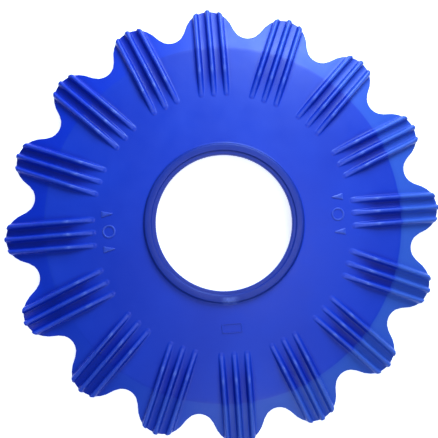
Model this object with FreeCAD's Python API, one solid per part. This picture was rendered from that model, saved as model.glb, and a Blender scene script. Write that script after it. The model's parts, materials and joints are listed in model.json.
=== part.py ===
import FreeCAD, Part
import math
import os

# Finned skirt disc of a suction pool cleaner: one flexible moulding, about 16 in across with a 5 in bore.
# The petals round its edge flex one by one, so the moulding is divided where it bends:
#   disc body    mounting collar, web, web ribs, raised marks and the 16 bend strips
#   petal bodies petal_01 .. petal_16, numbered anticlockwise from +X as seen from above
# Frame: +Z up through the bore, origin under the centre of the bore, on the surface that the petal tips rest on.

Vector = FreeCAD.Vector
Z_AXIS = Vector(0, 0, 1)
ORIGIN = Vector(0, 0, 0)

# ---- driving dimensions, in millimetres and degrees
PETALS = 16
TIP_RADIUS = 202.0  # plate edge at a petal's tip
VALLEY_RADIUS = 175.2  # plate edge half way between two petals
TIP_ARC = 22.6  # radius of the rounded petal tip
VALLEY_ARC = 14.2  # radius of the rounded valley
CREASE_RADIUS = 163.5  # circle where the web turns down into the rim band
WEB_SLOPE = 4.0
RIM_SLOPE = 15.0
WEB_THICKNESS = 2.4
EDGE_THICKNESS = 2.0

BORE_RADIUS = 62.0
COLLAR_RADIUS = 73.0
COLLAR_CROWN_RADIUS = 71.8  # the collar's outer wall has mould draft up to here
COLLAR_ABOVE_WEB = 3.8
COLLAR_BELOW_WEB = 1.2
COLLAR_LIP_DROP = 1.2  # the collar's inner lip stands this much lower than its plateau
COLLAR_PLATEAU_RADIUS = 66.2  # inner edge of the plateau
COLLAR_LIP_RADIUS = 65.6  # outer edge of the lip
COLLAR_ROUND = 0.7

RIB_PITCH = 11.7
RIB_START = 119.5
RIB_KNEE = 142.0  # the crest rises from the start to here, then keeps its height
RIB_START_HEIGHT = 0.8
RIB_HEIGHT = 5.0
RIB_TOP_ROUND = 2.0
RIB_DRAFT = 15.0
RIB_ROOT_DEPTH = 10.0  # how far the rib's blank reaches below its crest before it is trimmed
RIB_BURIED = 1.0  # how deep the rib's trimmed root sits in the plate
RIB_OVERHANG = 0.4  # how far the foot of the rib's end stands out past the plate's edge
RIB_END_DRAFT = 9.0  # the rib's end leans back from there

BEND_START = 172.3  # a chord just outside the valley bottoms
BEND_LENGTH = 10.0

MARK_RADIUS = 104.6  # distance of the raised marks from the bore's centre
MARK_HEIGHT = 0.6
MARK_SIZE = 12.0
MARK_SPACING = 16.0
MARK_STROKE = 1.6
PAD_RADIUS = 95.4
PAD_LENGTH = 19.0
PAD_WIDTH = 8.5
GATE_LENGTH = 20.0
GATE_REACH = 1.3  # how far the gate's scar stands out from the collar's wall
GATE_HEIGHT = 2.2

# ---- values worked out from them
STEP_ANGLE = 360.0 / PETALS
BEND_END = BEND_START + BEND_LENGTH
RIM_TAN = math.tan(math.radians(RIM_SLOPE))
WEB_TAN = math.tan(math.radians(WEB_SLOPE))
CREASE_BOTTOM = (TIP_RADIUS - CREASE_RADIUS) * RIM_TAN
OUTSIDE = TIP_RADIUS + 8.0  # a radius past every edge
FAR_BELOW = -20.0
FAR_ABOVE = 60.0


def bottom_z(radius):
    """Height of the plate's underside at a radius."""
    if radius <= CREASE_RADIUS:
        return CREASE_BOTTOM + (CREASE_RADIUS - radius) * WEB_TAN
    return CREASE_BOTTOM - (radius - CREASE_RADIUS) * RIM_TAN


def top_z(radius):
    """Height of the plate's top at a radius; the rim band thins towards the tips."""
    share = max(0.0, (radius - CREASE_RADIUS) / (TIP_RADIUS - CREASE_RADIUS))
    return bottom_z(radius) + WEB_THICKNESS + (EDGE_THICKNESS - WEB_THICKNESS) * share


def polar(radius, angle):
    """The point at a radius and an angle in degrees, at height 0."""
    turn = math.radians(angle)
    return Vector(radius * math.cos(turn), radius * math.sin(turn), 0)


def turned(shape, angle):
    """A copy of the shape turned about the bore's axis."""
    copy = shape.copy()
    copy.rotate(ORIGIN, Z_AXIS, angle)
    return copy


def revolved(points):
    """The solid that a closed outline of (radius, height) points sweeps round the bore's axis."""
    corners = [Vector(radius, 0, height) for radius, height in points]
    face = Part.Face(Part.makePolygon(corners + corners[:1]))
    return face.revolve(ORIGIN, Z_AXIS, 360)


# ---- the lobed outline
def outline_face():
    """The disc's outline from above: rounded tips and rounded valleys joined by tangent lines."""
    tip_centre = Vector(TIP_RADIUS - TIP_ARC, 0, 0)
    valley_centre = polar(VALLEY_RADIUS + VALLEY_ARC, STEP_ANGLE / 2)
    across = valley_centre - tip_centre
    lean = math.acos((TIP_ARC + VALLEY_ARC) / across.Length)
    normal_angle = math.degrees(math.atan2(across.y, across.x) - lean)
    normal = polar(1, normal_angle)
    tip_end = tip_centre + normal * TIP_ARC
    valley_start = valley_centre - normal * VALLEY_ARC
    tip_begin = Vector(tip_end.x, -tip_end.y, 0)
    valley_end = turned(Part.Vertex(Vector(valley_start.x, -valley_start.y, 0)), STEP_ANGLE).Point
    next_tip = turned(Part.Vertex(tip_begin), STEP_ANGLE).Point
    one_petal = [
        Part.Arc(tip_begin, Vector(TIP_RADIUS, 0, 0), tip_end).toShape(),
        Part.LineSegment(tip_end, valley_start).toShape(),
        Part.Arc(valley_start, polar(VALLEY_RADIUS, STEP_ANGLE / 2), valley_end).toShape(),
        Part.LineSegment(valley_end, next_tip).toShape(),
    ]
    edges = [turned(edge, STEP_ANGLE * k) for k in range(PETALS) for edge in one_petal]
    return Part.Face(Part.Wire(Part.__sortEdges__(edges)))


def plate():
    """The whole sheet of the disc outside the collar, trimmed to the lobed outline."""
    edge_bottom = bottom_z(OUTSIDE)
    sheet = revolved(
        [
            (COLLAR_RADIUS, bottom_z(COLLAR_RADIUS)),
            (CREASE_RADIUS, bottom_z(CREASE_RADIUS)),
            (OUTSIDE, edge_bottom),
            (OUTSIDE, top_z(OUTSIDE)),
            (CREASE_RADIUS, top_z(CREASE_RADIUS)),
            (COLLAR_RADIUS, top_z(COLLAR_RADIUS)),
        ]
    )
    blank = outline_face()
    blank.translate(Vector(0, 0, FAR_BELOW))
    return sheet.common(blank.extrude(Vector(0, 0, FAR_ABOVE - FAR_BELOW)))


# ---- ribs
def rib_section(across, crest):
    """The rib's cross-section, a rounded top on drafted walls, standing at the crest's first point."""
    draft = math.radians(RIB_DRAFT)
    shoulder_y = RIB_TOP_ROUND * math.cos(draft)
    shoulder_z = crest.z - RIB_TOP_ROUND + RIB_TOP_ROUND * math.sin(draft)
    root_z = crest.z - RIB_ROOT_DEPTH
    root_y = shoulder_y + (shoulder_z - root_z) * math.tan(draft)
    left_root = Vector(crest.x, across - root_y, root_z)
    left_shoulder = Vector(crest.x, across - shoulder_y, shoulder_z)
    right_shoulder = Vector(crest.x, across + shoulder_y, shoulder_z)
    right_root = Vector(crest.x, across + root_y, root_z)
    top = Vector(crest.x, across, crest.z)
    edges = [
        Part.LineSegment(left_root, left_shoulder).toShape(),
        Part.Arc(left_shoulder, top, right_shoulder).toShape(),
        Part.LineSegment(right_shoulder, right_root).toShape(),
        Part.LineSegment(right_root, left_root).toShape(),
    ]
    return Part.Face(Part.Wire(edges))


def petal_ribs():
    """The three ribs of the petal along +X, rooted in the plate and ended past its edge."""
    inner = RIB_START - RIB_ROOT_DEPTH
    outer = OUTSIDE + RIB_ROOT_DEPTH
    below_roots = revolved(
        [
            (inner, FAR_BELOW),
            (outer, FAR_BELOW),
            (outer, top_z(outer) - RIB_BURIED),
            (CREASE_RADIUS, top_z(CREASE_RADIUS) - RIB_BURIED),
            (inner, top_z(inner) - RIB_BURIED),
        ]
    )
    edge = outline_face()
    edge.translate(Vector(RIB_OVERHANG, 0, top_z(TIP_RADIUS) - RIB_BURIED))
    lean = math.tan(math.radians(RIB_END_DRAFT))
    leaning_edge = edge.extrude(Vector(-FAR_ABOVE * lean, 0, FAR_ABOVE))
    stations = [
        (RIB_START, RIB_START_HEIGHT),
        (RIB_KNEE, RIB_HEIGHT),
        (CREASE_RADIUS, RIB_HEIGHT),
        (OUTSIDE, RIB_HEIGHT),
    ]
    crest = [Vector(x, 0, top_z(x) + height) for x, height in stations]
    ribs = []
    for across in (-RIB_PITCH, 0, RIB_PITCH):
        runs = [rib_section(across, a).extrude(b - a) for a, b in zip(crest, crest[1:])]
        rib = runs[0].fuse(runs[1:])
        ribs.append(rib.cut(below_roots).common(leaning_edge))
    return ribs


def slab(x_from, x_to):
    """A block that keeps what lies between two chords of the petal along +X, within the petal's own sector."""
    spread = math.tan(math.radians(STEP_ANGLE / 2))
    near = x_from * spread
    far = x_to * spread
    return prism([(x_from, -near), (x_to, -far), (x_to, far), (x_from, near)])


# ---- collar and marks
def collar():
    """The raised ring round the bore: a plateau, a lower inner lip and rounded corners."""
    base = bottom_z(COLLAR_RADIUS) - COLLAR_BELOW_WEB
    crown = top_z(COLLAR_RADIUS) + COLLAR_ABOVE_WEB
    lip = crown - COLLAR_LIP_DROP
    ring = revolved(
        [
            (BORE_RADIUS, base),
            (COLLAR_RADIUS - COLLAR_ROUND, base),
            (COLLAR_RADIUS, base + COLLAR_ROUND),
            (COLLAR_RADIUS, top_z(COLLAR_RADIUS)),
            (COLLAR_CROWN_RADIUS, crown - COLLAR_ROUND),
            (COLLAR_CROWN_RADIUS - COLLAR_ROUND, crown),
            (COLLAR_PLATEAU_RADIUS, crown),
            (COLLAR_LIP_RADIUS, lip),
            (BORE_RADIUS, lip),
        ]
    )
    return ring


def on_web(blank):
    """What a blank raises above the web: its part inside a thin cone shell on the web's top."""
    inner = COLLAR_RADIUS
    outer = RIB_START
    shell = revolved(
        [
            (inner, top_z(inner)),
            (outer, top_z(outer)),
            (outer, top_z(outer) + MARK_HEIGHT),
            (inner, top_z(inner) + MARK_HEIGHT),
        ]
    )
    return blank.common(shell)


def prism(points):
    """A tall upright prism whose outline from above is the closed polygon of (x, y) points."""
    corners = [Vector(x, y, FAR_BELOW) for x, y in points]
    return Part.Face(Part.makePolygon(corners + corners[:1])).extrude(Vector(0, 0, FAR_ABOVE - FAR_BELOW))


def side_mark():
    """A wordless this-side-up mark: a ring between two triangles that point at the bore."""
    half = MARK_SIZE / 2
    centre = Vector(MARK_RADIUS, 0, 0)
    ring = Part.makeCylinder(half, FAR_ABOVE, centre).cut(
        Part.makeCylinder(half - MARK_STROKE, FAR_ABOVE, centre)
    )
    pieces = [on_web(ring)]
    for side in (-MARK_SPACING, MARK_SPACING):
        outline = [
            (MARK_RADIUS - half, side),
            (MARK_RADIUS + half, side - half / 2),
            (MARK_RADIUS + half, side + half / 2),
        ]
        pieces.append(on_web(prism(outline)))
    return pieces


def stamp_pad():
    """A blank raised frame, where a mould would carry its date stamp, on the -Y side."""
    inner = PAD_RADIUS - PAD_WIDTH / 2
    outer = PAD_RADIUS + PAD_WIDTH / 2
    half = PAD_LENGTH / 2

    def rectangle(inset):
        return prism(
            [
                (-half + inset, -outer + inset),
                (half - inset, -outer + inset),
                (half - inset, -inner - inset),
                (-half + inset, -inner - inset),
            ]
        )

    return on_web(rectangle(0).cut(rectangle(MARK_STROKE)))


def gate_scar():
    """The moulding gate's low scar against the collar's drafted outer wall, on the -Y side."""
    foot = top_z(COLLAR_RADIUS)
    draft = (COLLAR_RADIUS - COLLAR_CROWN_RADIUS) / (COLLAR_ABOVE_WEB - COLLAR_ROUND)
    profile = revolved(
        [
            (COLLAR_RADIUS, foot),
            (COLLAR_RADIUS + GATE_REACH, top_z(COLLAR_RADIUS + GATE_REACH)),
            (COLLAR_RADIUS - GATE_HEIGHT * draft, foot + GATE_HEIGHT),
        ]
    )
    half = GATE_LENGTH / 2
    reach = COLLAR_RADIUS + 2 * GATE_REACH
    return profile.common(prism([(-half, -reach), (half, -reach), (half, 0), (-half, 0)]))


# ---- assembly
def write(name, solids):
    """Writes one node's STEP file from its solids, each a single closed solid."""
    for solid in solids:
        if not solid.isValid() or len(solid.Solids) != 1:
            raise RuntimeError(f"{name}: {len(solid.Solids)} solids, valid {solid.isValid()}")
    shape = solids[0] if len(solids) == 1 else Part.makeCompound(solids)
    shape.exportStep(f"parts/{name}.step")
    print(name, len(solids), "solids", round(sum(s.Volume for s in solids)), "mm3")


def inner_polygon():
    """The prism inside the 16 bend chords, which the web fills."""
    corner_radius = BEND_START / math.cos(math.radians(STEP_ANGLE / 2))
    corners = [polar(corner_radius, STEP_ANGLE * (k + 0.5)) for k in range(PETALS)]
    return prism([(p.x, p.y) for p in corners])


def ribbed(sheet, ribs, keeper):
    """The sheet and the ribs joined into one solid, as far as the keeper's block reaches."""
    return sheet.common(keeper).fuse([rib.common(keeper) for rib in ribs]).removeSplitter()


def main():
    os.makedirs("parts", exist_ok=True)
    sheet = plate()
    ribs = petal_ribs()

    write("mounting_collar", [collar()])
    all_ribs = [turned(rib, STEP_ANGLE * k) for k in range(PETALS) for rib in ribs]
    write("web", [ribbed(sheet, all_ribs, inner_polygon())])

    bend = ribbed(sheet, ribs, slab(BEND_START, BEND_END))
    petal = ribbed(sheet, ribs, slab(BEND_END, OUTSIDE))
    for k in range(PETALS):
        write(f"bend_{k + 1:02d}", [turned(bend, STEP_ANGLE * k)])
        write(f"petal_{k + 1:02d}", [turned(petal, STEP_ANGLE * k)])

    marks = side_mark()
    write("this_side_up_marks", marks + [turned(mark, 180) for mark in marks])
    write("stamp_pad", [stamp_pad()])
    write("gate_scar", [gate_scar()])


main()
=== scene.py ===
import bmesh
import bpy
import json
import math
import numpy as np
from mathutils import Matrix, Vector


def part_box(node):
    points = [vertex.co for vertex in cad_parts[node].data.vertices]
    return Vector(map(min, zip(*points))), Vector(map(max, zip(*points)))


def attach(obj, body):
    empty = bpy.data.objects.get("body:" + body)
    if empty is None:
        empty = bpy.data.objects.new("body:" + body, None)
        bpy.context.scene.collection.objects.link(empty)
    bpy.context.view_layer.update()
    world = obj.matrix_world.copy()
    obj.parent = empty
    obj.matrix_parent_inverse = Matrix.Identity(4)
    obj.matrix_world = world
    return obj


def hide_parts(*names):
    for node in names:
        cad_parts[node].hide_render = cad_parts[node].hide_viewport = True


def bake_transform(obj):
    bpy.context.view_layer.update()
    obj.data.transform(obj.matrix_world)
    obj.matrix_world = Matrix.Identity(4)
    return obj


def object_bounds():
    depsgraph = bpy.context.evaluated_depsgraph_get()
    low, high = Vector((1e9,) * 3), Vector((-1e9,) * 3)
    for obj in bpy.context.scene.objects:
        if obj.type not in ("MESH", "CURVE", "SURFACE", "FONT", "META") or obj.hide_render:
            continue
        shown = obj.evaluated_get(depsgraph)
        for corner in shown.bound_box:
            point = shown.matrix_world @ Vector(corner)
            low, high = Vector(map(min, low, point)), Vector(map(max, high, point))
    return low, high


# Finned skirt disc of a suction pool cleaner: one flexible blue moulding, made as a web skin and
# 16 petal skins. Each petal skin starts on the chord where its petal bends, so the surface stays
# whole at every pose.

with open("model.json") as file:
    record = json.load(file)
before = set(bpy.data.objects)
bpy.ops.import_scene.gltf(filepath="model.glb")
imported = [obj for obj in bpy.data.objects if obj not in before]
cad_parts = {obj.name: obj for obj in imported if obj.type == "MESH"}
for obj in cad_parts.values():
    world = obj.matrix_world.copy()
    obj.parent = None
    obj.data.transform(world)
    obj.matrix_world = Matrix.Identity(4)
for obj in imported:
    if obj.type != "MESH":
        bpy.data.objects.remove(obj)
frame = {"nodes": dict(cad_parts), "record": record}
cad_low, cad_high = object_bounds()
record = frame["record"]
MM = 0.001

# ---- the frame's own sizes
PETALS = sum(name.startswith("petal_") for name in frame["nodes"])
SECTOR = 2 * math.pi / PETALS
collar_low, collar_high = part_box("mounting_collar")
bend_low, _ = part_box("bend_01")
petal_low, petal_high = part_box("petal_01")
mounts = {mount["name"]: mount for mount in record["mounts"]}
BORE_RADIUS = mounts["bore"]["dims"]["r_mm"] * MM
COLLAR_RADIUS = collar_high.x
COLLAR_TOP = collar_high.z
COLLAR_BASE = collar_low.z
COLLAR_LIP_DROP = 1.2 * MM  # how much lower than its plateau the collar's inner lip stands
COLLAR_WALL_LEAN = 1.2 * MM  # how far the collar's outer wall leans in over its height
SEAM = bend_low.x  # the chord where a petal starts to bend
RIB_OVERHANG = 0.4 * MM  # how far a rib's end stands out past the plate's edge
TIP_RADIUS = petal_high.x - RIB_OVERHANG

# ---- the moulding's section
CREASE_RADIUS = 163.5 * MM
CREASE_ROUND = 1.8 * MM  # half the width of the rounded turn at the crease
WEB_SLOPE = math.tan(math.radians(4))
WEB_CROWN = 0.8 * MM  # how far the web bulges above a straight cone half way out
RIM_SLOPE = math.tan(math.radians(15))
WEB_THICKNESS = 2.4 * MM
EDGE_THICKNESS = 2.0 * MM
EDGE_ROUND = 0.75 * MM
UNDER_ROUND = 0.45 * MM

# ---- the lobed outline
VALLEY_RADIUS = TIP_RADIUS - 26.8 * MM
TIP_ARC = 22.6 * MM
VALLEY_ARC = 14.2 * MM

# ---- ribs
RIB_PITCH = 11.7 * MM
RIB_START = 119.5 * MM
RIB_KNEE = 142 * MM
RIB_START_HEIGHT = 0.5 * MM
RIB_HEIGHT = 5.0 * MM
RIB_CROWN = 2.0 * MM  # radius of the rounded crest
RIB_DRAFT = math.radians(15)
RIB_FILLET = 1.1 * MM
RIB_END_ROUND = 1.5 * MM

# ---- how the soft petals lie: a slight curl and twist each, and one that has curled right up
CURLED_PETAL = 9
CURL = 9.0  # curvature of the curled petal, per metre
SLACK = 1.6  # largest curvature of the others, per metre
TWIST_SHARE = 0.9  # largest twist, as a share of the slack
TWIST_REACH = 18  # how much faster a twisted petal curls for each metre off its middle line


# ---- the section as functions of place
def plate_bottom(radius):
    """Height of the plate's underside over its radius."""
    crease_height = (TIP_RADIUS - CREASE_RADIUS) * RIM_SLOPE
    beyond = radius - CREASE_RADIUS
    turn = np.clip((beyond + CREASE_ROUND) / (2 * CREASE_ROUND), 0, 1)
    eased = CREASE_ROUND * turn * turn + np.maximum(beyond - CREASE_ROUND, 0)
    out = np.clip((radius - COLLAR_RADIUS) / (CREASE_RADIUS - COLLAR_RADIUS), 0, 1)
    crown = WEB_CROWN * 4 * out * (1 - out)
    return crease_height - beyond * WEB_SLOPE - eased * (RIM_SLOPE - WEB_SLOPE) + crown


def plate_top(radius):
    share = np.clip((radius - CREASE_RADIUS) / (TIP_RADIUS - CREASE_RADIUS), 0, 1)
    return plate_bottom(radius) + WEB_THICKNESS + (EDGE_THICKNESS - WEB_THICKNESS) * share


def rib_bump(away):
    """A rib's height at a distance from its middle line, as a share of its crest's height."""
    shoulder = RIB_CROWN * math.cos(RIB_DRAFT)
    shoulder_drop = RIB_CROWN * (1 - math.sin(RIB_DRAFT))
    foot = shoulder + (RIB_HEIGHT - shoulder_drop) * math.tan(RIB_DRAFT)
    tangent = RIB_FILLET * math.tan((math.pi / 2 - RIB_DRAFT) / 2)
    crown = RIB_HEIGHT - RIB_CROWN + np.sqrt(np.maximum(RIB_CROWN**2 - away**2, 0))
    flank = (foot - away) / math.tan(RIB_DRAFT)
    fillet_place = np.minimum(away - foot - tangent, 0)
    fillet = RIB_FILLET - np.sqrt(np.maximum(RIB_FILLET**2 - fillet_place**2, 0))
    flank_end = foot - tangent * math.sin(RIB_DRAFT)
    height = np.where(away < shoulder, crown, np.where(away < flank_end, flank, fillet))
    return np.where(away > foot + tangent, 0, height) / RIB_HEIGHT


def crest_height(x):
    rise = np.clip((x - RIB_START) / (RIB_KNEE - RIB_START), 0, 1)
    return RIB_START_HEIGHT + (RIB_HEIGHT - RIB_START_HEIGHT) * rise


def nearest_rib(y):
    """How far y is from the middle of the nearest rib."""
    return np.min([np.abs(y - middle) for middle in (-RIB_PITCH, 0, RIB_PITCH)], axis=0)


def ribs(x, y):
    """Height of the ribs above the plate, in the petal's own frame."""
    before = np.maximum(RIB_START - x, 0)
    return rib_bump(np.hypot(nearest_rib(y), before)) * crest_height(x)


def lift(x, y, petal):
    """How far a soft petal's own curl and twist raise it, beyond the seam."""
    beyond = np.maximum(x - SEAM, 0)
    uneven_curl = 0.5 + 0.5 * math.sin(2.4 * petal + 0.6)  # no two neighbours curl alike
    curl = CURL if petal == CURLED_PETAL else SLACK * uneven_curl
    twist = TWIST_SHARE * SLACK * math.sin(1.7 * petal + 1.1)
    return beyond**2 * (curl + TWIST_REACH * twist * y)


# ---- the outline: x of the plate's edge over y, in the petal's own frame
def outline_circles():
    """Centres of the tip's and valley's circles, and the normal of the line that touches both."""
    tip = np.array([TIP_RADIUS - TIP_ARC, 0.0])
    reach = VALLEY_RADIUS + VALLEY_ARC
    valley = np.array([reach * math.cos(SECTOR / 2), reach * math.sin(SECTOR / 2)])
    across = valley - tip
    lean = math.acos((TIP_ARC + VALLEY_ARC) / np.hypot(*across))
    angle = math.atan2(across[1], across[0]) - lean
    return tip, valley, np.array([math.cos(angle), math.sin(angle)])


def edge_x(y):
    """x of the plate's edge at y, and how squarely the edge faces outwards there."""
    tip, valley, normal = outline_circles()
    side = np.abs(y)
    tip_end = tip + normal * TIP_ARC
    valley_start = valley - normal * VALLEY_ARC
    on_tip = tip[0] + np.sqrt(np.maximum(TIP_ARC**2 - side**2, 0))
    on_line = tip_end[0] - (side - tip_end[1]) * normal[1] / normal[0]
    on_valley = valley[0] - np.sqrt(np.maximum(VALLEY_ARC**2 - (valley[1] - side) ** 2, 0))
    facing_tip = np.sqrt(np.maximum(1 - (side / TIP_ARC) ** 2, 0))
    facing_valley = np.sqrt(np.maximum(1 - ((valley[1] - side) / VALLEY_ARC) ** 2, 0))
    places = [side < tip_end[1], side < valley_start[1]]
    x = np.select(places, [on_tip, on_line], on_valley)
    facing = np.select(places, [facing_tip, normal[0] + 0 * side], facing_valley)
    return x, facing


def rounding(distance, radius):
    """How much a rounded edge has dropped at a distance in from it."""
    inside = 1 - np.clip(distance / radius, 0, 1)
    return radius * (1 - np.sqrt(1 - inside**2))


# ---- columns: the y values that the ribs need, from the middle outwards
def corner_y():
    """y where the outline crosses the seam."""
    _, valley, _ = outline_circles()
    return valley[1] - math.sqrt(VALLEY_ARC**2 - (valley[0] - SEAM) ** 2)


# from a rib's crest out past its fillet, and then from the outer rib to the outline on the seam
HALF_RIB = [v * MM for v in (0, 0.65, 1.2, 1.62, 1.93, 2.25, 2.53, 2.85, 3.2, 3.6)]
OUTER_SHARES = (0.12, 0.3, 0.48, 0.66, 0.82, 0.93, 1.0)


def half_columns():
    """The y values from the petal's middle line to where the outline crosses the seam."""
    outer_rib = [RIB_PITCH - v for v in reversed(HALF_RIB)] + [RIB_PITCH + v for v in HALF_RIB[1:]]
    last = outer_rib[-1]
    outer = [last + (corner_y() - last) * share for share in OUTER_SHARES]
    return HALF_RIB + [RIB_PITCH / 2] + outer_rib + outer


def both_sides(half):
    return np.array([-v for v in reversed(half[1:])] + list(half))


# the web's columns run straight along the petal as far out as this, and fan out beyond it
RIB_ZONE = RIB_PITCH + HALF_RIB[-1]


# ---- meshes
def turned(points, angle):
    """The points turned about the bore's axis."""
    x, y, z = points[..., 0], points[..., 1], points[..., 2]
    c, s = math.cos(angle), math.sin(angle)
    return np.stack([c * x - s * y, s * x + c * y, z], axis=-1)


def skin(name, *grids):
    """One closed mesh from grids of points, each with its rows round a section.

    A grid's flag says whether it is a ring, whose last column meets its first.
    """
    vertices, faces = [], []
    for points, ring in grids:
        rows, columns, _ = points.shape
        first = len(vertices)
        vertices += points.reshape(-1, 3).tolist()
        for i in range(rows):
            for j in range(columns if ring else columns - 1):
                here = first + i * columns
                beyond = first + (i + 1) % rows * columns
                j_next = (j + 1) % columns
                faces.append((here + j, beyond + j, beyond + j_next, here + j_next))
    mesh = bpy.data.meshes.new(name)
    mesh.from_pydata(vertices, [], faces)
    merge_and_face_out(mesh)
    mesh.set_sharp_from_angle(angle=math.radians(50))
    piece = bpy.data.objects.new(name, mesh)
    bpy.context.collection.objects.link(piece)
    return piece


def merge_and_face_out(mesh):
    """Merges points that coincide, drops what collapses, and turns every face outwards."""
    work = bmesh.new()
    work.from_mesh(mesh)
    bmesh.ops.remove_doubles(work, verts=work.verts, dist=1e-7)
    bmesh.ops.recalc_face_normals(work, faces=work.faces)
    for face in work.faces:
        face.smooth = True
    work.to_mesh(mesh)
    work.free()


WALL_SHARES = (0.25, 0.5, 0.75)


def wall_rows(top_edge, bottom_edge):
    """Rows down a wall from its top edge to its bottom edge."""
    return [top_edge + (bottom_edge - top_edge) * share for share in WALL_SHARES]


# ---- the web skin: collar, web, inner ribs and valley bottoms
def web_columns():
    """For one sector, where each column ends on the seam or the valley's edge: y and radius.

    The third value is the column's place in the fan beside the ribs, from 0 to 1.
    """
    valley_y = VALLEY_RADIUS * math.sin(SECTOR / 2)
    middle_y = (corner_y() + valley_y) / 2
    ends_y = np.array([-middle_y, *both_sides(half_columns()), middle_y, valley_y])
    edge, _ = edge_x(ends_y)
    ends_x = np.minimum(edge, SEAM)
    end_radius = np.hypot(ends_x, ends_y)
    end_angle = np.arctan2(np.abs(ends_y), ends_x)
    zone_angle = np.arcsin(RIB_ZONE / end_radius)
    fan = (end_angle - zone_angle) / (SECTOR / 2 - zone_angle)
    return ends_y, end_radius, fan


def web_points(radius, ends_y, fan):
    """Plan position of each column at a radius: straight by the ribs, and fanned beside them."""
    spread = np.maximum(radius, RIB_START - 4 * MM)
    zone_angle = np.arcsin(RIB_ZONE / spread)
    straight = np.arcsin(np.clip(np.abs(ends_y) / spread, 0, 1))
    fanned = zone_angle + (SECTOR / 2 - zone_angle) * fan
    angle = np.sign(ends_y) * np.where(np.abs(ends_y) <= RIB_ZONE + 1e-9, straight, fanned)
    return radius * np.cos(angle), radius * np.sin(angle)


def web_top_row(radius, ends_y, fan):
    x, y = web_points(radius, ends_y, fan)
    edge, facing = edge_x(y)
    drop = rounding((edge - x) * facing, EDGE_ROUND)
    return np.stack([x, y, plate_top(np.hypot(x, y)) + ribs(x, y) - drop], axis=-1)


def web_bottom_row(radius, ends_y, fan):
    x, y = web_points(radius, ends_y, fan)
    edge, facing = edge_x(y)
    rise = rounding((edge - x) * facing, UNDER_ROUND)
    return np.stack([x, y, plate_bottom(np.hypot(x, y)) + rise], axis=-1)


def collar_section():
    """The collar's outline as (radius, height): underside, bore, lip, plateau, outer wall."""
    lip = COLLAR_TOP - COLLAR_LIP_DROP
    web_top = float(plate_top(COLLAR_RADIUS))
    web_bottom = float(plate_bottom(COLLAR_RADIUS))
    bore, outer = BORE_RADIUS, COLLAR_RADIUS
    shoulder = outer - COLLAR_WALL_LEAN
    under = [
        (outer + 1.2 * MM, float(plate_bottom(outer + 1.2 * MM))),
        (outer + 0.5 * MM, web_bottom - 0.12 * MM),
        (outer + 0.1 * MM, web_bottom - 0.4 * MM),
        (outer, COLLAR_BASE + 0.4 * MM),
        (outer - 0.15 * MM, COLLAR_BASE + 0.1 * MM),
        (outer - 0.5 * MM, COLLAR_BASE),
        (outer - 4 * MM, COLLAR_BASE),
        (bore + 0.6 * MM, COLLAR_BASE),
    ]
    through_bore = [
        (bore + 0.2 * MM, COLLAR_BASE + 0.1 * MM),
        (bore, COLLAR_BASE + 0.5 * MM),
        (bore, (COLLAR_BASE + lip) / 2),
        (bore, lip - 0.6 * MM),
        (bore + 0.15 * MM, lip - 0.18 * MM),
        (bore + 0.6 * MM, lip),
    ]
    step = [
        (bore + 2 * MM, lip),
        (bore + 3.1 * MM, lip),
        (bore + 3.4 * MM, lip + 0.12 * MM),
        (bore + 3.6 * MM, lip + 0.5 * MM),
        (bore + 3.8 * MM, COLLAR_TOP - 0.3 * MM),
        (bore + 4.05 * MM, COLLAR_TOP - 0.06 * MM),
        (bore + 4.5 * MM, COLLAR_TOP),
    ]
    outside = [
        (bore + 6.5 * MM, COLLAR_TOP),
        (shoulder - 0.8 * MM, COLLAR_TOP),
        (shoulder - 0.4 * MM, COLLAR_TOP - 0.08 * MM),
        (shoulder - 0.05 * MM, COLLAR_TOP - 0.3 * MM),
        (shoulder + 0.2 * MM, COLLAR_TOP - 0.75 * MM),
        (outer - 0.35 * MM, web_top + 1.0 * MM),
        (outer - 0.1 * MM, web_top + 0.45 * MM),
        (outer + 0.3 * MM, web_top + 0.12 * MM),
        (outer + 1.1 * MM, float(plate_top(outer + 1.1 * MM)) + 0.02 * MM),
    ]
    return under + through_bore + step + outside


GATE_ANGLE = -math.pi / 2
GATE_HALF_LENGTH = 10 * MM
GATE_MIDDLE_HEIGHT = 1.2 * MM  # above the web
GATE_HALF_HEIGHT = 2.0 * MM
GATE_REACH = 1.1 * MM


def gate_reach(angle, height):
    """How far the moulding gate's scar stands out from the collar's outer wall."""
    from_middle = height - plate_top(COLLAR_RADIUS) - GATE_MIDDLE_HEIGHT
    along = np.clip(1 - (np.abs(angle - GATE_ANGLE) * COLLAR_RADIUS / GATE_HALF_LENGTH) ** 4, 0, 1)
    upward = np.clip(1 - (from_middle / GATE_HALF_HEIGHT) ** 2, 0, 1)
    return GATE_REACH * along * upward


def collar_rows(ends_y, fan):
    """The collar's rows for the whole circle, with the gate's scar on its outer wall."""
    rows = []
    for radius, height in collar_section():
        x, y = web_points(radius, ends_y, fan)
        flat = np.stack([x, y, np.full_like(x, height)], axis=-1)
        row = whole_circle(flat)
        if radius > COLLAR_RADIUS - COLLAR_WALL_LEAN and height > plate_top(COLLAR_RADIUS):
            angle = np.arctan2(row[:, 1], row[:, 0])
            row[:, :2] *= (1 + gate_reach(angle, height) / radius)[:, None]
        rows.append(row)
    return rows


def whole_circle(row):
    """One sector's row repeated round the disc."""
    return np.concatenate([turned(row, SECTOR * k) for k in range(PETALS)])


def spaced(start, stop, step):
    """Even steps from start up to stop, without stop itself."""
    count = max(1, round((stop - start) / step))
    return [start + (stop - start) * i / count for i in range(count)]


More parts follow.
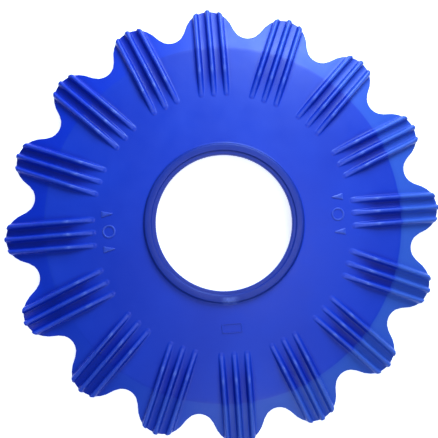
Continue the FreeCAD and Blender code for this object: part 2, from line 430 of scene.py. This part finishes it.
def web_radii():
    """Radii of the web's rows: close together where the ribs start and at the crease."""
    rib_front = RIB_START - 4.2 * MM
    rib_body = RIB_START + 3 * MM
    crease_in = CREASE_RADIUS - CREASE_ROUND
    return (
        spaced(COLLAR_RADIUS + 2 * MM, rib_front, 4.2 * MM)
        + spaced(rib_front, rib_body, 0.55 * MM)
        + spaced(rib_body, RIB_KNEE, 2.0 * MM)
        + spaced(RIB_KNEE, crease_in, 2.6 * MM)
        + spaced(crease_in, CREASE_RADIUS + CREASE_ROUND, 0.6 * MM)
    )


EDGE_INSETS = [v * MM for v in (0.75, 0.5, 0.28, 0.1, 0.0)]  # rows that round the edge of a valley


def make_web():
    """The web skin, row by row: collar, top, valley edge and wall, and back along the underside."""
    ends_y, end_radius, fan = web_columns()
    last = CREASE_RADIUS + CREASE_ROUND
    edge_rows = [0.66 * (SEAM - last), 0.33 * (SEAM - last), *EDGE_INSETS]
    outer_radii = [end_radius - inset * (end_radius - last) / (SEAM - last) for inset in edge_rows]
    rows = collar_rows(ends_y, fan)
    for radius in web_radii() + outer_radii:
        rows.append(whole_circle(web_top_row(np.broadcast_to(radius, ends_y.shape), ends_y, fan)))
    bottom_edge = whole_circle(web_bottom_row(end_radius, ends_y, fan))
    rows += wall_rows(rows[-1], bottom_edge)
    rows.append(bottom_edge)
    for radius in reversed(outer_radii[:-1]):
        rows.append(whole_circle(web_bottom_row(radius, ends_y, fan)))
    inward = spaced(CREASE_RADIUS - CREASE_ROUND, COLLAR_RADIUS + 3 * MM, -8 * MM)
    for radius in [last, CREASE_RADIUS, *inward]:
        row = web_bottom_row(np.broadcast_to(radius, ends_y.shape), ends_y, fan)
        rows.append(whole_circle(row))
    return skin("web_skin", (np.array(rows), True))


# ---- the petal skins
EDGE_CLUSTER = 2.0 * MM  # depth of the close rows along a petal's edge
EDGE_CLUSTER_SHARES = (1, 0.72, 0.5, 0.34, 0.21, 0.11, 0.035, 0)
UNDER_CLUSTER = 0.5 * MM  # the same on the underside
STEEPEST_FACING = 0.3  # where the edge runs along the petal, the rows crowd no further than this


def make_petal(k):
    """Petal k's skin, from the seam to its edge, made along +X and then turned into place."""
    y = both_sides(half_columns())
    edge, facing = edge_x(y)
    out = RIB_OVERHANG * rib_bump(nearest_rib(y))
    top_edge_x = edge + out
    room = top_edge_x - SEAM
    end_round = EDGE_ROUND + (RIB_END_ROUND - EDGE_ROUND) * rib_bump(nearest_rib(y))
    slant = np.maximum(facing, STEEPEST_FACING)
    cluster = np.minimum(EDGE_CLUSTER / slant, 0.5 * room)

    def top_row(x):
        drop = rounding((top_edge_x - x) * facing, end_round)
        height = plate_top(np.hypot(x, y)) + ribs(x, y) - drop + lift(x, y, k)
        return np.stack([x, y, height], axis=-1)

    def bottom_row(x):
        rise = rounding((edge - x) * facing, UNDER_ROUND)
        return np.stack([x, y, plate_bottom(np.hypot(x, y)) + rise + lift(x, y, k)], axis=-1)

    rows = [top_row(SEAM + (room - cluster) * share) for share in np.linspace(0, 1, 12)[:-1]]
    rows += [top_row(top_edge_x - cluster * share) for share in EDGE_CLUSTER_SHARES]
    bottom_edge = bottom_row(edge)
    rows += wall_rows(rows[-1], bottom_edge)
    rows.append(bottom_edge)
    plate_room = edge - SEAM
    under_cluster = np.minimum(UNDER_CLUSTER / slant, 0.5 * plate_room)
    rows += [bottom_row(edge - under_cluster * share) for share in (0.3, 1)]
    inner_room = plate_room - under_cluster
    rows += [bottom_row(SEAM + inner_room * share) for share in (0.75, 0.5, 0.25, 0)]
    rows += wall_rows(rows[-1], rows[0])
    piece = skin(f"petal_skin_{k + 1:02d}", (turned(np.array(rows), SECTOR * k), False))
    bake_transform(piece)
    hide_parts(f"petal_{k + 1:02d}", f"bend_{k + 1:02d}")
    return piece


# ---- raised marks on the web
MARK_HEIGHT = 0.6 * MM
MARK_SUNK = 0.4 * MM
MARK_BEVEL = 0.2 * MM
MARK_STROKE = 1.6 * MM
MARK_HALF = 6 * MM  # half a side mark's size along the radius, and the ring's radius
TRIANGLE_HALF = 3 * MM  # half a triangle's width
TRIANGLE_ROUND = 0.5 * MM
STAMP_ROUND = 1.2 * MM


def on_web(loop, height):
    """A loop of plan points set at a height above the web."""
    heights = plate_top(np.hypot(loop[:, 0], loop[:, 1])) + height
    return np.column_stack([loop, heights])


def shrunk(loop, inset):
    """A convex loop of plan points moved in by about the inset."""
    centre = loop.mean(axis=0)
    reach = np.hypot(*(loop - centre).T)
    return centre + (loop - centre) * ((reach - inset) / reach)[:, None]


def solid_mark(loop):
    """Rows of a raised patch with this outline; its first and last rows are single points."""
    top = shrunk(loop, MARK_BEVEL)
    middle = np.repeat(loop.mean(axis=0)[None], len(loop), axis=0)
    return [
        on_web(middle, -MARK_SUNK),
        on_web(loop, -MARK_SUNK),
        on_web(loop, MARK_HEIGHT - MARK_BEVEL),
        on_web(shrunk(loop, 0.3 * MARK_BEVEL), MARK_HEIGHT - 0.3 * MARK_BEVEL),
        on_web(top, MARK_HEIGHT),
        on_web(middle, MARK_HEIGHT),
    ]


def hollow_mark(loop, stroke):
    """Rows of a raised frame along the inside of this outline."""
    rows = []
    for inset, height in (
        (0, -MARK_SUNK),
        (0, MARK_HEIGHT - MARK_BEVEL),
        (MARK_BEVEL, MARK_HEIGHT),
        (stroke - MARK_BEVEL, MARK_HEIGHT),
        (stroke, MARK_HEIGHT - MARK_BEVEL),
        (stroke, -MARK_SUNK),
    ):
        rows.append(on_web(shrunk(loop, inset), height))
    return rows


def rounded_polygon(corners, radius, steps=5):
    """Plan points of a convex polygon, anticlockwise, with each corner rounded."""
    points = []
    count = len(corners)
    for i, corner in enumerate(corners):
        corner = np.array(corner)
        before = np.array(corners[i - 1]) - corner
        after = np.array(corners[(i + 1) % count]) - corner
        before, after = before / np.hypot(*before), after / np.hypot(*after)
        half = math.acos(float(np.clip(before @ after, -1, 1))) / 2
        bisector = (before + after) / np.hypot(*(before + after))
        centre = corner + bisector * radius / math.sin(half)
        first = math.atan2(*(corner + before * radius / math.tan(half) - centre)[::-1])
        sweep = math.pi - 2 * half
        for s in range(steps):
            angle = first + sweep * s / (steps - 1)
            points.append(centre + radius * np.array([math.cos(angle), math.sin(angle)]))
    return np.array(points)


def circle(centre, radius, steps=40):
    angles = np.arange(steps) * 2 * math.pi / steps
    return np.array(centre) + radius * np.column_stack([np.cos(angles), np.sin(angles)])


def make_side_marks():
    """Right and left, a ring between two triangles that point at the bore: this side up."""
    _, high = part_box("this_side_up_marks")
    middle_x = high.x - MARK_HALF
    spacing = high.y - TRIANGLE_HALF
    grids = []
    for turn in (0, math.pi):
        ring = np.array(hollow_mark(circle((middle_x, 0), MARK_HALF), MARK_STROKE))
        grids.append((turned(ring, turn), True))
        for side in (-spacing, spacing):
            corners = [
                (middle_x - MARK_HALF, side),
                (middle_x + MARK_HALF, side - TRIANGLE_HALF),
                (middle_x + MARK_HALF, side + TRIANGLE_HALF),
            ]
            triangle = np.array(solid_mark(rounded_polygon(corners, TRIANGLE_ROUND)))
            grids.append((turned(triangle, turn), True))
    return skin("side_marks", *grids)


def make_stamp_frame():
    """A blank raised frame on the web, below the bore."""
    low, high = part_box("stamp_pad")
    corners = [(low.x, low.y), (high.x, low.y), (high.x, high.y), (low.x, high.y)]
    rows = np.array(hollow_mark(rounded_polygon(corners, STAMP_ROUND), MARK_STROKE))
    return skin("stamp_frame", (rows, True))


# ---- the moulded elastomer: linear colours
WEB_DEEP = (0.0085, 0.038, 0.49)
WEB_LIGHT = (0.0095, 0.047, 0.55)
COLLAR_BLUE = (0.012, 0.032, 0.32)
# painted sheen: the rim runs from deep on one side to pale and grey on the side the lights gloss
RIM_DEEP = (0.0020, 0.031, 0.57)
RIM_SHEEN = (0.040, 0.112, 0.56)
# painted shade: the grooves between the ribs are darkened towards this colour, where the ribs would
# shade them
GROOVE_SHADE_BLUE = (0.0006, 0.016, 0.38)
# wear on the crests, and painted highlights at the ribs' knees and by the gate, lighten towards
# this
SCUFF_AND_HIGHLIGHT_BLUE = (0.13, 0.19, 0.68)
ROUGHNESS = (0.34, 0.46)  # between the shiniest and the dullest smudges
SCUFF_POLISH = 0.7  # handling has rubbed the scuffed crests this much smoother


def link(tree, output, socket):
    tree.links.new(output, socket)


def noise(tree, coordinates, scale, detail, roughness=0.5):
    """Noise with this many cells per metre."""
    node = tree.nodes.new("ShaderNodeTexNoise")
    node.inputs["Scale"].default_value = scale
    node.inputs["Detail"].default_value = detail
    node.inputs["Roughness"].default_value = roughness
    link(tree, coordinates, node.inputs["Vector"])
    return node.outputs["Fac"]


def mapped(tree, value, low, high, to_low, to_high):
    """The value carried from one range to another, and held at its ends."""
    node = tree.nodes.new("ShaderNodeMapRange")
    node.inputs["From Min"].default_value = low
    node.inputs["From Max"].default_value = high
    node.inputs["To Min"].default_value = to_low
    node.inputs["To Max"].default_value = to_high
    link(tree, value, node.inputs["Value"])
    return node.outputs["Result"]


def stored(tree, name):
    """A value that mark_surface stored at each point."""
    node = tree.nodes.new("ShaderNodeAttribute")
    node.attribute_name = name
    return node.outputs["Fac"]


def multiplied(tree, first, second):
    node = tree.nodes.new("ShaderNodeMath")
    node.operation = "MULTIPLY"
    link(tree, first, node.inputs[0])
    link(tree, second, node.inputs[1])
    return node.outputs[0]


def mixed(tree, share, first, second):
    """A colour between two, each a plain colour or a node's output."""
    node = tree.nodes.new("ShaderNodeMix")
    node.data_type = "RGBA"
    for socket, value in (("A", first), ("B", second)):
        target = [s for s in node.inputs if s.name == socket and s.type == "RGBA"][0]
        if isinstance(value, tuple):
            target.default_value = (*value, 1)
        else:
            link(tree, value, target)
    link(tree, share, node.inputs["Factor"])
    return [s for s in node.outputs if s.type == "RGBA"][0]


def bump(tree, height, strength, distance):
    """A bump node for this height; the distance is its full depth in metres."""
    node = tree.nodes.new("ShaderNodeBump")
    node.inputs["Strength"].default_value = strength
    node.inputs["Distance"].default_value = distance
    link(tree, height, node.inputs["Height"])
    return node


def elastomer():
    """Moulded blue polyurethane: deep where thick, with painted shade in the grooves, clear at the
    rim with a painted sheen on one side, pale where worn and where highlights are painted.
    """
    material = bpy.data.materials.new("blue_elastomer")
    material.use_nodes = True
    tree = material.node_tree
    shader = tree.nodes["Principled BSDF"]
    place = tree.nodes.new("ShaderNodeTexCoord").outputs["Object"]

    mottle = mapped(tree, noise(tree, place, 14, 4), 0.35, 0.65, 0, 1)
    web = mixed(tree, mottle, WEB_DEEP, WEB_LIGHT)
    body = mixed(tree, stored(tree, "thickness"), web, COLLAR_BLUE)
    # painted sheen: the rim turns pale and grey towards one side
    rim = mixed(tree, stored(tree, "painted_sheen"), RIM_DEEP, RIM_SHEEN)
    skin_colour = mixed(tree, stored(tree, "thinness"), body, rim)
    # painted shade: darkens the grooves between the ribs
    clear = mixed(tree, stored(tree, "painted_groove_shade"), skin_colour, GROOVE_SHADE_BLUE)
    # wear and painted highlights lighten the colour, broken up by scratches
    scratches = mapped(tree, noise(tree, place, 260, 5, 0.7), 0.35, 0.6, 0.35, 1)
    scuff_and_highlight = multiplied(tree, stored(tree, "wear_and_highlight"), scratches)
    colour = mixed(tree, scuff_and_highlight, clear, SCUFF_AND_HIGHLIGHT_BLUE)
    link(tree, colour, shader.inputs["Base Color"])

    smudges = mapped(tree, noise(tree, place, 55, 6, 0.65), 0.3, 0.7, *ROUGHNESS)
    polish = mapped(tree, scuff_and_highlight, 0, 1, 1, SCUFF_POLISH)
    link(tree, multiplied(tree, smudges, polish), shader.inputs["Roughness"])
    shader.inputs["IOR"].default_value = 1.5
    shader.inputs["Specular IOR Level"].default_value = 0.35

    grain = bump(tree, noise(tree, place, 900, 3, 0.6), 0.12, 0.2 * MM)
    waves = bump(tree, noise(tree, place, 22, 2), 0.25, 1.5 * MM)
    link(tree, grain.outputs["Normal"], waves.inputs["Normal"])
    link(tree, waves.outputs["Normal"], shader.inputs["Normal"])
    return material


SHEEN_SIDE = math.radians(-20)  # painted sheen: the rim is painted palest and greyest on this side, as if lit and glossed from here, and deepest opposite
THINNING = 1.5 * MM  # the width over which the clearer rim begins, past the crease
COLLAR_FOOT = 0.8 * MM  # the width over which the collar's deeper colour ends, past its wall
TOP_SHARE = 0.8  # a point higher than this share of the sheet's thickness is on its top
GROOVE_REACH = 7 * MM  # how far past the outer rib the painted shade of the grooves reaches
GROOVE_FADE = 6 * MM
GROOVE_SHADE_CUT_ON_SHEEN = 0.8  # how much of the painted groove shade the rim loses where its painted sheen is strongest
CREST_SHARE = 0.86  # the crests' wear and painted highlight start at this share of a rib's height
CREST_FADE = 0.12
CREST_WEAR = 0.2  # wear along the crests; a painted highlight makes it full at their knees
# painted highlight at each rib's knee, this long
KNEE_HIGHLIGHT_LENGTH = 2.5 * MM
# painted highlight on the collar by the moulding gate's scar, and its size
GATE_HIGHLIGHT = 0.7
GATE_HIGHLIGHT_LENGTH = 7 * MM
GATE_HIGHLIGHT_INSET = 2 * MM  # how far inside the collar's wall the painted highlight band's middle lies
GATE_HIGHLIGHT_WIDTH = 3.2 * MM  # to each side of that middle


def store(piece, name, values):
    """Stores one value per point, for the material to read."""
    attribute = piece.data.attributes.new(name, "FLOAT", "POINT")
    attribute.data.foreach_set("value", np.asarray(values, dtype=np.float32))


def mark_surface(piece, even_lightening=None):
    """Stores how thin and thick each point is, the painted sheen on one side of the rim, the
    painted shade in the grooves, and the wear and painted highlights, for the material to read.

    A small raised mark is lightened evenly, and has no grooves.
    """
    points = np.array([v.co for v in piece.data.vertices])
    radius = np.hypot(points[:, 0], points[:, 1])
    angle = np.arctan2(points[:, 1], points[:, 0])
    thinness = np.clip((radius - CREASE_RADIUS) / THINNING, 0, 1)
    thickness = np.clip((COLLAR_RADIUS + COLLAR_FOOT - radius) / COLLAR_FOOT, 0, 1)
    # painted sheen: share of the rim's pale grey colour, largest on one side of the disc
    painted_sheen = 0.5 + 0.5 * np.cos(angle - SHEEN_SIDE)
    store(piece, "thinness", thinness)
    store(piece, "thickness", thickness)
    store(piece, "painted_sheen", painted_sheen)
    if even_lightening is not None:
        store(piece, "wear_and_highlight", np.full(len(points), even_lightening))
        return
    petal = np.round(angle / SECTOR) * SECTOR
    x = radius * np.cos(angle - petal)
    y = radius * np.sin(angle - petal)
    rib = rib_bump(nearest_rib(y))
    on_top = points[:, 2] > plate_bottom(radius) + TOP_SHARE * EDGE_THICKNESS
    rise = np.clip((x - RIB_START) / (RIB_KNEE - RIB_START), 0, 1)
    beside = np.clip((RIB_PITCH + GROOVE_REACH - np.abs(y)) / GROOVE_FADE, 0, 1)
    groove_shade_kept = 1 - GROOVE_SHADE_CUT_ON_SHEEN * thinness * painted_sheen
    # painted shade in the grooves between the ribs, past their start, weaker on the rim's painted
    # sheen side
    store(piece, "painted_groove_shade", on_top * rise * beside * (1 - rib) * groove_shade_kept)
    crest = np.clip((rib - CREST_SHARE) / CREST_FADE, 0, 1) * (x > RIB_START)
    # painted highlight at each rib's knee
    knee_highlight = np.exp(-(((x - RIB_KNEE) / KNEE_HIGHLIGHT_LENGTH) ** 2))
    # painted highlight on the collar by the moulding gate's scar
    gate_arc = np.abs(angle - GATE_ANGLE) * COLLAR_RADIUS / GATE_HIGHLIGHT_LENGTH
    on_collar = np.abs(radius - COLLAR_RADIUS + GATE_HIGHLIGHT_INSET) < GATE_HIGHLIGHT_WIDTH
    gate = np.exp(-(gate_arc**4)) * on_collar
    # wear along the crests, with the painted highlights at their knees
    crest_wear_and_highlight = crest * (CREST_WEAR + (1 - CREST_WEAR) * knee_highlight)
    store(piece, "wear_and_highlight", on_top * np.maximum(crest_wear_and_highlight, GATE_HIGHLIGHT * gate))


# ---- the room: floor, lights and camera
PICTURE_TURN = math.radians(4.42)  # the first petal stands this far above the picture's horizontal
CAMERA_LEAN = math.radians(3.31)  # the camera leans this far from straight above
CAMERA_LEAN_TOWARDS = math.radians(245.7)
CAMERA_DISTANCE = 596 * MM
CAMERA_LENS = 52.2
AIM_RIGHT = -4.2 * MM  # where the camera's axis meets the floor, from under the bore's centre
AIM_UP = 4.3 * MM
DISC_WIDTH = cad_high.x - cad_low.x
FLOOR_REACH = 6 * DISC_WIDTH
FLOOR_GAP = 0.3 * MM  # keeps the floor clear of the tips that stand on it


def in_picture(angle):
    """The horizontal direction at this angle in the picture, anticlockwise from its right."""
    turn = angle - PICTURE_TURN
    return Vector((math.cos(turn), math.sin(turn), 0))


def make_floor():
    mesh = bpy.data.meshes.new("floor")
    square = ((-1, -1), (1, -1), (1, 1), (-1, 1))
    corners = [(x * FLOOR_REACH, y * FLOOR_REACH, 0) for x, y in square]
    mesh.from_pydata(corners, [], [(0, 1, 2, 3)])
    floor = bpy.data.objects.new("floor", mesh)
    bpy.context.collection.objects.link(floor)
    floor.location.z = cad_low.z - FLOOR_GAP
    material = bpy.data.materials.new("pale_floor")
    material.use_nodes = True
    shader = material.node_tree.nodes["Principled BSDF"]
    shader.inputs["Base Color"].default_value = (0.93, 0.93, 0.93, 1)
    shader.inputs["Roughness"].default_value = 0.9
    shader.inputs["Specular IOR Level"].default_value = 0.2
    shader.inputs["Emission Color"].default_value = (1, 1, 1, 1)
    shader.inputs["Emission Strength"].default_value = 0.75
    mesh.materials.append(material)


def area_light(name, angle, from_vertical, distance, size, power, colour=(1, 1, 1)):
    """A square light in the direction that lies at this angle in the picture, aimed at the disc."""
    light = bpy.data.lights.new(name, "AREA")
    light.shape = "SQUARE"
    light.size = size
    light.energy = power
    light.color = colour
    lamp = bpy.data.objects.new(name, light)
    bpy.context.collection.objects.link(lamp)
    lean = math.radians(from_vertical)
    direction = in_picture(math.radians(angle)) * math.sin(lean) + Vector((0, 0, math.cos(lean)))
    lamp.location = direction * distance
    lamp.rotation_euler = direction.to_track_quat("Z", "Y").to_euler()


def make_lights():
    area_light("window", 74, 55, 0.8, 0.45, 8.2, (0.62, 0.87, 1.0))
    area_light("door", 280, 45, 0.9, 0.4, 1.8, (0.75, 0.95, 1.0))
    area_light("ceiling", -12, 8, 1.2, 0.45, 2.1)
    world = bpy.data.worlds.new("studio")
    bpy.context.scene.world = world
    world.use_nodes = True
    background = world.node_tree.nodes["Background"]
    background.inputs["Color"].default_value = (0.5, 0.85, 1.3, 1)
    background.inputs["Strength"].default_value = 0.18


def make_camera():
    data = bpy.data.cameras.new("camera")
    camera = bpy.data.objects.new("camera", data)
    bpy.context.collection.objects.link(camera)
    data.sensor_width = 36
    data.lens = CAMERA_LENS
    lean_to = in_picture(CAMERA_LEAN_TOWARDS)
    direction = lean_to * math.sin(CAMERA_LEAN) + Vector((0, 0, math.cos(CAMERA_LEAN)))
    aim = in_picture(0) * AIM_RIGHT + in_picture(math.pi / 2) * AIM_UP
    camera.location = aim + direction * CAMERA_DISTANCE
    up = in_picture(math.pi / 2)
    back = direction.normalized()
    right = up.cross(back).normalized()
    up = back.cross(right)
    camera.matrix_world = Matrix(
        (
            (right.x, up.x, back.x, camera.location.x),
            (right.y, up.y, back.y, camera.location.y),
            (right.z, up.z, back.z, camera.location.z),
            (0, 0, 0, 1),
        )
    )
    bpy.context.scene.camera = camera


# ---- build it
web = make_web()
petals = [make_petal(k) for k in range(PETALS)]
side_marks = make_side_marks()
stamp_frame = make_stamp_frame()
for piece in (web, side_marks, stamp_frame):
    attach(piece, "disc")
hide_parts("web", "mounting_collar", "gate_scar")
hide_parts("this_side_up_marks")
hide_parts("stamp_pad")

blue = elastomer()
# the raised marks are lighter all over by these shares
EVEN_LIGHTENING = {side_marks: 0.4, stamp_frame: 0.1}
for piece in (web, side_marks, stamp_frame, *petals):
    mark_surface(piece, EVEN_LIGHTENING.get(piece))
    piece.data.materials.append(blue)

make_floor()
make_lights()
make_camera()
bpy.context.scene.view_settings.view_transform = "Standard"
